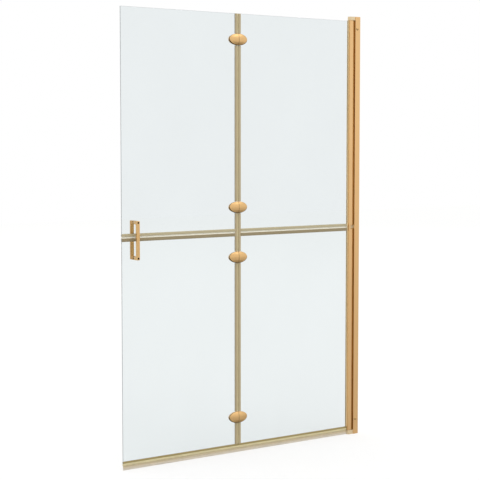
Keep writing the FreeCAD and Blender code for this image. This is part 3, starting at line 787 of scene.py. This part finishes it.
class SCREEN_OT_bearing_blocks(bpy.types.Operator):
    """Give the cast bearing blocks rounded edges and their lacquer"""

    bl_idname = "shower_screen.bearing_blocks"
    bl_label = "Bearing blocks"

    def execute(self, context):
        settings = context.scene.shower_screen
        lacquer = gold_lacquered("gold lacquered zinc casting", settings.finishes.lacquer)
        for end in BLOCKS:
            node = f"{end}_bearing_block"
            mesh = softened(merged_copy(node), settings.sizes.block_edge, lacquer)
            piece(f"{end}_cast_block", mesh, "carrier", "gold_die_cast", node)
        return {"FINISHED"}


class SCREEN_OT_panes(bpy.types.Operator):
    """Make the panes, with clear faces and ground edges"""

    bl_idname = "shower_screen.panes"
    bl_label = "Glass panes"

    def execute(self, context):
        finishes = context.scene.shower_screen.finishes
        glass = toughened_glass("clear toughened glass", finishes.glass)
        edge = ground_edge("ground glass edge", finishes.glass_edge)
        for leaf in LEAVES:
            for level in LEVELS:
                node = f"{leaf}_{level}_pane"
                mesh = merged_copy(node)
                for point in mesh.vertices:
                    point.co.y *= 1 - GLASS_AIR / HALF_GLASS
                mesh.materials.clear()
                mesh.materials.append(glass)
                mesh.materials.append(edge)
                for face in mesh.polygons:
                    face.material_index = 0 if abs(face.normal.y) > PANE_FACE else 1
                crease(mesh)
                piece(f"{leaf}_{level}_glass", mesh, f"{leaf}_leaf", "clear_glass", node)
        return {"FINISHED"}


class SCREEN_OT_seals(bpy.types.Operator):
    """Draw the edge seals out along the fold line, the mid gap and the floor"""

    bl_idname = "shower_screen.seals"
    bl_label = "Edge seals"

    def execute(self, context):
        settings = context.scene.shower_screen
        sizes = settings.sizes
        shades = settings.finishes
        self.tree = extrusion_tree()
        upright = extruded_vinyl("gold vinyl, upright", shades.upright_seal, "Z", clear=0.15)
        meeting = extruded_vinyl("pale gold vinyl, upright lip", shades.upright_lip, "Z", clear=0.15)
        upper = extruded_vinyl("gold vinyl, upper mid seal", shades.upper_seal, "X", clear=0.15)
        # Painted shade: the lower mid seal's vinyl is given a darker tone than the upper one
        lower = extruded_vinyl("gold vinyl, lower mid seal", shades.lower_seal, "X", clear=0.15)
        # Partly painted light: opaque near-white lips stand in for light shining through clear ones
        cream = extruded_vinyl("cream vinyl, mid lip", shades.cream_lip, "X", clear=0.0)
        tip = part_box("inner_bottom_seal")[1].z - sizes.bottom_tip
        darker = {"upper": shades.bottom_tip, "change": (tip - sizes.tip_change, tip)}
        clip = extruded_vinyl("gold vinyl, bottom clip", shades.bottom_clip, "X", clear=0.0, **darker)
        bulb = extruded_vinyl("gold vinyl, bottom bulb", shades.bottom_clip, "X", clear=0.3)
        fin_top = GLASS_FOOT - sizes.bottom_web - sizes.bulb_diameter + sizes.bulb_sink
        darker = {"upper": shades.fin_root, "change": [fin_top * share for share in FIN_CHANGE]}
        fin = extruded_vinyl("milky vinyl fin", shades.fin, "X", clear=0.4, **darker)
        silicone = moulded_silicone("gold tinted silicone", shades.glazing)
        for leaf in LEAVES:
            self.fold_seal(leaf, sizes, upright, upright, meeting)
            self.mid_seal(leaf, "upper", 1, sizes, upper, upper, cream)
            self.mid_seal(leaf, "lower", -1, sizes, lower, lower, cream)
            self.bottom_seal(leaf, sizes, clip, bulb, fin)
        for level in LEVELS:
            self.glazing_gasket(level, sizes, silicone, silicone, silicone)
        return {"FINISHED"}

    def drawn(self, name, body, slot, node, parts, place, runs, materials):
        """Piece of a section that place puts at each run's start, in materials for clip, bulb and lip."""
        meshes = []
        for start, run in runs:
            section = section_mesh(parts, lambda u, v: start + Vector(place(u, v)), run)
            meshes.append(node_result(section, self.tree, {"Run": run, **dict(zip(SEAL_PARTS, materials))}))
        mesh = joined(meshes)
        crease(mesh)
        piece(name, mesh, body, slot, node)

    def spans(self, node, axis, edge, way):
        """How far a seal reaches onto its pane and beyond the pane's edge."""
        low, high = [getattr(corner, axis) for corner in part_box(node)]
        return (high - edge, edge - low) if way > 0 else (edge - low, high - edge)

    def fold_seal(self, leaf, sizes, *materials):
        """Lengths of upright seal between the hinges, with lips that meet at the fold line."""
        node = f"{leaf}_fold_seal"
        side = SIDE[leaf]
        edge = FOLD_X + side * FOLD_HALF_GAP
        parts = lipped_section(sizes, *self.spans(node, "x", edge, side), sizes.seal_web, sizes.seal_lip)
        heights = sorted({round(v.co.z, 5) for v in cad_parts[node].data.vertices})
        runs = []
        for start, end in zip(heights[::2], heights[1::2]):
            runs.append((Vector((edge, 0, start)), Vector((0, 0, end - start))))
        ride = (f"{leaf}_leaf", "gold_tinted_seal", node)
        self.drawn(f"{leaf}_upright_seal", *ride, parts, lambda u, v: (side * u, v, 0), runs, materials)

    def level_seal(self, name, leaf, node, parts, edge, way, materials):
        """Seal along a level edge of a pane."""
        low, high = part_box(node)
        runs = [(Vector((low.x, 0, edge)), Vector((high.x - low.x, 0, 0)))]
        ride = (f"{leaf}_leaf", "gold_tinted_seal", node)
        self.drawn(name, *ride, parts, lambda u, v: (0, v, way * u), runs, materials)

    def mid_seal(self, leaf, level, way, sizes, *materials):
        """Seal at the mid gap, with a lip that meets the other pane's."""
        node = f"{leaf}_{level}_mid_seal"
        edge = MID_Z + way * MID_HALF_GAP
        parts = lipped_section(sizes, *self.spans(node, "z", edge, way), sizes.mid_web, sizes.mid_lip)
        self.level_seal(f"{leaf}_{level}_level_seal", leaf, node, parts, edge, way, materials)

    def bottom_seal(self, leaf, sizes, *materials):
        """Seal under the glass, with a bulb and a fin that wipes the floor."""
        node = f"{leaf}_bottom_seal"
        parts = bottom_section(sizes, *self.spans(node, "z", GLASS_FOOT, 1))
        self.level_seal(f"{leaf}_floor_seal", leaf, node, parts, GLASS_FOOT, 1, materials)

    def glazing_gasket(self, level, sizes, *materials):
        """Channel round the pane's edge in a pivot profile, with lips that thin out on the glass."""
        node = f"{level}_glazing_gasket"
        low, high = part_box(node)
        half = [
            (high.x, high.y),
            (low.x + sizes.gasket_taper, high.y),
            (low.x, HALF_GLASS + sizes.seal_tip),
            (low.x, HALF_GLASS),
            (INNER_PANE[1].x, HALF_GLASS),
        ]
        outline = half + [(x, -y) for x, y in reversed(half)]
        runs = [(Vector((0, 0, low.z)), Vector((0, 0, high.z - low.z)))]
        ride = ("inner_leaf", "clear_gasket", node)
        self.drawn(f"{level}_glass_gasket", *ride, [(0, outline)], lambda x, y: (x, y, 0), runs, materials)


class SCREEN_OT_hinges(bpy.types.Operator):
    """Model the crowned oval hinge covers and give the plates behind them their plating"""

    bl_idname = "shower_screen.hinges"
    bl_label = "Oval hinges"

    def execute(self, context):
        settings = context.scene.shower_screen
        gold = plating(settings.finishes)
        for hinge in HINGES:
            for leaf in LEAVES:
                node = f"{hinge}_hinge_{leaf}_cover"
                oval = self.half_oval(node, SIDE[leaf], settings.sizes)
                mesh = softened(oval, settings.sizes.cover_bevel, gold, degrees=60.0)
                # Painted shade on the oval's side walls and underside
                painted_shade(mesh)
                piece(f"{hinge}_hinge_{leaf}_oval", mesh, f"{leaf}_leaf", "gold_plated_brass", node)
                dress(f"{hinge}_hinge_{leaf}_plate", gold)
        return {"FINISHED"}

    def half_oval(self, node, side, sizes):
        """Half of a crowned oval: rings from the middle of the seam over the crown, the edge and the rim."""
        low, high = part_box(node)
        seam_x = low.x if side > 0 else high.x
        centre_z = (low.z + high.z) / 2
        radius = (high.z - low.z) / 2
        squash = side * (high.x - low.x) / radius

        def place(reach, y, turn):
            return seam_x + squash * reach * math.cos(turn), y, centre_z + reach * math.sin(turn)

        work = bmesh.new()
        turns = steps_between(-math.pi / 2, math.pi / 2, OVAL_STEPS)
        loops = shell(work, self.rings(radius, low.y, high.y, sizes), turns, place)
        seam = [loop[0] for loop in loops] + [loop[-1] for loop in reversed(loops)]
        work.faces.new(list(dict.fromkeys(seam)))
        bmesh.ops.recalc_face_normals(work, faces=work.faces)
        return plain_mesh(node, work)

    def rings(self, radius, front_y, back_y, sizes):
        """Reach and Y of each ring, from the crown's middle to the back's middle."""
        crown = sizes.cover_crown
        edge = sizes.cover_round
        face = radius - edge
        ball = (face**2 + crown**2) / (2 * crown)
        rings = []
        for reach in steps_between(0.0, face, CROWN_STEPS):
            rings.append((reach, front_y + ball - math.sqrt(ball**2 - reach**2)))
        for turn in steps_between(0.0, math.pi / 2, RIM_STEPS)[1:]:
            rings.append((face + edge * math.sin(turn), front_y + crown + edge * (1 - math.cos(turn))))
        return rings + [(radius, back_y), (radius / 2, back_y), (0.0, back_y)]


class SCREEN_OT_handle(bpy.types.Operator):
    """Give the handle bars their plating"""

    bl_idname = "shower_screen.handle"
    bl_label = "Bar handle"

    def execute(self, context):
        finishes = context.scene.shower_screen.finishes
        # Painted shade: a darker copy of the plating for the inner bar, which stands behind the glass
        inner = gold_plated("polished gold plating, inner bar in painted shade", finishes.shaded_inner_bar, finishes.painted_shade)
        dress("front_handle", plating(finishes))
        dress("back_handle", inner)
        return {"FINISHED"}


class SCREEN_OT_fasteners(bpy.types.Operator):
    """Set the lock screws, hinge screws and handle bolts"""

    bl_idname = "shower_screen.fasteners"
    bl_label = "Screws and bolts"

    def execute(self, context):
        settings = context.scene.shower_screen
        sizes = settings.sizes
        self.lock_screws(sizes, plating(settings.finishes))
        # Near-black steel for the handle bolts
        self.handle_bolts(sizes, turned_steel("near-black steel", settings.finishes.dark_steel))
        for leaf in LEAVES:
            self.hinge_screws(leaf, sizes, stainless(settings.finishes))
        return {"FINISHED"}

    def pair(self, low, high, head, y):
        """Places of two fasteners at the ends of a box, where their heads reach its top and bottom."""
        x = (low.x + high.x) / 2
        return [(x, y, low.z + head), (x, y, high.z - head)]

    def lock_screws(self, sizes, finish):
        """Domed screws on the front of the wall channels."""
        low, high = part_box("lock_screws")
        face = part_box("lower_wall_channel")[0].y
        head = (high.x - low.x) / 2
        shank = sizes.screw_shank / 2
        top = low.y - face
        end = high.y - face
        rim = top * LOCK_RIM
        floor = top * LOCK_FLOOR
        socket = head * LOCK_SOCKET
        dome = []
        for turn in steps_between(math.asin(socket * LOCK_DOME / head), math.pi / 2, DOME_STEPS):
            dome.append((head * math.sin(turn), rim + (top - rim) * math.cos(turn)))
        hexagons = [(0.0, floor), (socket, floor), (socket, dome[0][1] * LOCK_MOUTH)]
        shape = lathed(hexagons, dome + [(head, 0.0), (shank, 0.0), (shank, end), (0.0, end)])
        points = self.pair(low, high, head, face)
        ride = ("wall_channel", "gold_plated_brass", "lock_screws")
        # Painted shade on the lower side of each screw's dome
        painted_shade(fasteners("lock_screw_set", shape, points, finish, *ride, seed=3).data)

    def handle_bolts(self, sizes, finish):
        """Bolts through the front bar into the back one."""
        low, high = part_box("handle_bolts")
        head = (high.x - low.x) / 2
        shank = sizes.bolt_shank / 2
        tall = sizes.bolt_head
        end = high.y - low.y
        rim = head * BOLT_RIM
        socket = head * SOCKET_REACH
        hexagons = [(0.0, tall / 2), (socket, tall / 2), (socket, sizes.bolt_mouth)]
        hexagons += [(socket * SOCKET_FLARE, 0.0)]
        circles = [(head - rim, 0.0), (head, rim), (head, tall), (shank, tall), (shank, end), (0.0, end)]
        points = self.pair(low, high, head, low.y)
        ride = ("outer_leaf", "stainless_steel", "handle_bolts")
        fasteners("handle_bolt_pair", lathed(hexagons, circles), points, finish, *ride, seed=5)

    def hinge_screws(self, leaf, sizes, finish):
        """Countersunk screws from the back of each hinge plate into its cover."""
        node = f"{leaf}_hinge_screws"
        low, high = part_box(node)
        head = sizes.hinge_screw_head / 2
        shank = sizes.screw_shank / 2
        cone = head - shank
        end = low.y - high.y
        edge = sizes.screw_edge
        point = sizes.screw_point
        socket = head * SOCKET_REACH
        hexagons = [(0.0, -cone), (socket, -cone), (socket, -sizes.screw_mouth)]
        hexagons += [(socket * SOCKET_FLARE, 0.0)]
        circles = [(head - edge, 0.0), (head, -edge), (shank, -cone)]
        circles += [(shank, end + point), (shank - point, end), (0.0, end)]
        x = FOLD_X + SIDE[leaf] * sizes.hinge_screw_offset
        points = []
        for hinge in HINGES:
            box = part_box(f"{hinge}_hinge_{leaf}_cover")
            middle = (box[0].z + box[1].z) / 2
            for way in (-1, 1):
                points.append((x, high.y, middle + way * sizes.hinge_screw_pitch / 2))
        ride = (f"{leaf}_leaf", "stainless_steel", node)
        fasteners(f"{leaf}_hinge_screw_set", lathed(hexagons, circles), points, finish, *ride, seed=7)


class SCREEN_OT_fittings(bpy.types.Operator):
    """Give the pins, bushes, gaskets, washers and clamp plates their finishes"""

    bl_idname = "shower_screen.fittings"
    bl_label = "Pins, bushes and gaskets"

    def execute(self, context):
        finishes = context.scene.shower_screen.finishes
        silicone = moulded_silicone("clear silicone", finishes.gasket)
        dress("pivot_bushes", turned_nylon("natural nylon", finishes.nylon))
        pins = [f"{end}_pivot_pin" for end in BLOCKS] + [f"{hinge}_hinge_pin" for hinge in HINGES]
        for node in pins + ["clamp_plates"]:
            dress(node, stainless(finishes))
        for node in [f"{leaf}_hinge_gaskets" for leaf in LEAVES] + ["handle_washers", "handle_sleeves"]:
            dress(node, silicone)
        return {"FINISHED"}


class SCREEN_OT_stage(bpy.types.Operator):
    """Set the pale floor, the soft light and the camera"""

    bl_idname = "shower_screen.stage"
    bl_label = "Stage"

    def execute(self, context):
        scene = context.scene
        stage = scene.shower_screen.stage
        scene.view_settings.view_transform = "Standard"
        self.floor(stage)
        self.room(scene, stage)
        self.key_light(stage)
        self.camera(scene, stage)
        return {"FINISHED"}

    def floor(self, stage):
        """Matt floor that keeps the shadow, and reads white where it is seen or mirrored."""
        reach = stage.floor_reach
        corners = [(-reach, -reach, 0), (reach, -reach, 0), (reach, reach, 0), (-reach, reach, 0)]
        mesh = bpy.data.meshes.new("floor")
        mesh.from_pydata(corners, [], [(0, 1, 2, 3)])
        material, tree, place = begin("pale studio floor")
        matt = add(tree, "ShaderNodeBsdfDiffuse", {"Color": rgba(stage.floor)})
        path = add(tree, "ShaderNodeLightPath").outputs
        straight = {0: path["Is Camera Ray"], 1: path["Is Transmission Ray"]}
        seen = add(tree, "ShaderNodeMath", straight, operation="MAXIMUM").outputs[0]
        # Towards its far side the floor runs into the white of the room, seen straight or mirrored
        distance = add(tree, "ShaderNodeVectorMath", {0: place}, operation="LENGTH").outputs["Value"]
        span = {"From Min": stage.floor_near, "From Max": reach, "To Max": stage.floor_far}
        shares = []
        for ray, near in ((seen, stage.floor_lift), (path["Is Glossy Ray"], stage.floor_gloss)):
            level = add(tree, "ShaderNodeMapRange", {"Value": distance, "To Min": near, **span})
            share = add(tree, "ShaderNodeMath", {0: ray, 1: level.outputs["Result"]}, operation="MULTIPLY")
            shares.append(share.outputs[0])
        lift = add(tree, "ShaderNodeMath", dict(enumerate(shares)), operation="MAXIMUM")
        glow = add(tree, "ShaderNodeEmission", {"Strength": lift.outputs[0]})
        both = add(tree, "ShaderNodeAddShader", {0: matt.outputs[0], 1: glow.outputs[0]})
        add(tree, "ShaderNodeOutputMaterial", {"Surface": both.outputs[0]})
        mesh.materials.append(material)
        linked("floor", mesh)

    def room(self, scene, stage):
        """Even white light from all round."""
        world = bpy.data.worlds.new("soft room")
        world.use_nodes = True
        tree = world.node_tree
        tree.nodes.clear()
        light = add(tree, "ShaderNodeBackground", {"Color": rgba((1.0, 1.0, 1.0)), "Strength": stage.fill})
        add(tree, "ShaderNodeOutputWorld", {"Surface": light.outputs[0]})
        scene.world = world

    def key_light(self, stage):
        """Broad soft light from the front right, high up and far away, so that it falls evenly."""
        data = bpy.data.lights.new("key light", "SUN")
        data.energy = stage.key
        data.angle = stage.key_spread
        linked("key light", data).rotation_euler = (math.pi / 2 - stage.key_height, 0.0, stage.key_turn)

    def camera(self, scene, stage):
        """Camera at the photograph's place, level but for a small tilt."""
        data = bpy.data.cameras.new("camera")
        data.lens = stage.lens
        data.shift_y = stage.shift
        ob = linked("camera", data)
        ob.location = stage.place
        ob.rotation_euler = (math.pi / 2 + stage.pitch, 0.0, -stage.yaw)
        scene.camera = ob


OPERATORS = (
    SCREEN_OT_wall_profiles,
    SCREEN_OT_bearing_blocks,
    SCREEN_OT_panes,
    SCREEN_OT_seals,
    SCREEN_OT_hinges,
    SCREEN_OT_handle,
    SCREEN_OT_fasteners,
    SCREEN_OT_fittings,
    SCREEN_OT_stage,
)


class SCREEN_PT_panel(bpy.types.Panel):
    """Shower screen settings and steps"""

    bl_idname = "SCREEN_PT_panel"
    bl_label = "Shower Screen"
    bl_space_type = "VIEW_3D"
    bl_region_type = "UI"
    bl_category = "Shower Screen"

    def draw(self, context):
        settings = context.scene.shower_screen
        for operator in OPERATORS:
            self.layout.operator(operator.bl_idname)
        for group in (settings.finishes, settings.sizes, settings.stage):
            column = self.layout.column()
            for name in group.__annotations__:
                column.prop(group, name)


CLASSES = (ScreenFinishes, ScreenSizes, ScreenStage, ScreenSettings, *OPERATORS, SCREEN_PT_panel)


def register():
    for cls in CLASSES:
        bpy.utils.register_class(cls)
    bpy.types.Scene.shower_screen = bpy.props.PointerProperty(type=ScreenSettings)


def unregister():
    del bpy.types.Scene.shower_screen
    for cls in reversed(CLASSES):
        bpy.utils.unregister_class(cls)


def main():
    register()
    bpy.ops.shower_screen.wall_profiles()
    bpy.ops.shower_screen.bearing_blocks()
    bpy.ops.shower_screen.panes()
    bpy.ops.shower_screen.seals()
    bpy.ops.shower_screen.hinges()
    bpy.ops.shower_screen.handle()
    bpy.ops.shower_screen.fasteners()
    bpy.ops.shower_screen.fittings()
    bpy.ops.shower_screen.stage()


if __name__ == "__main__":
    main()
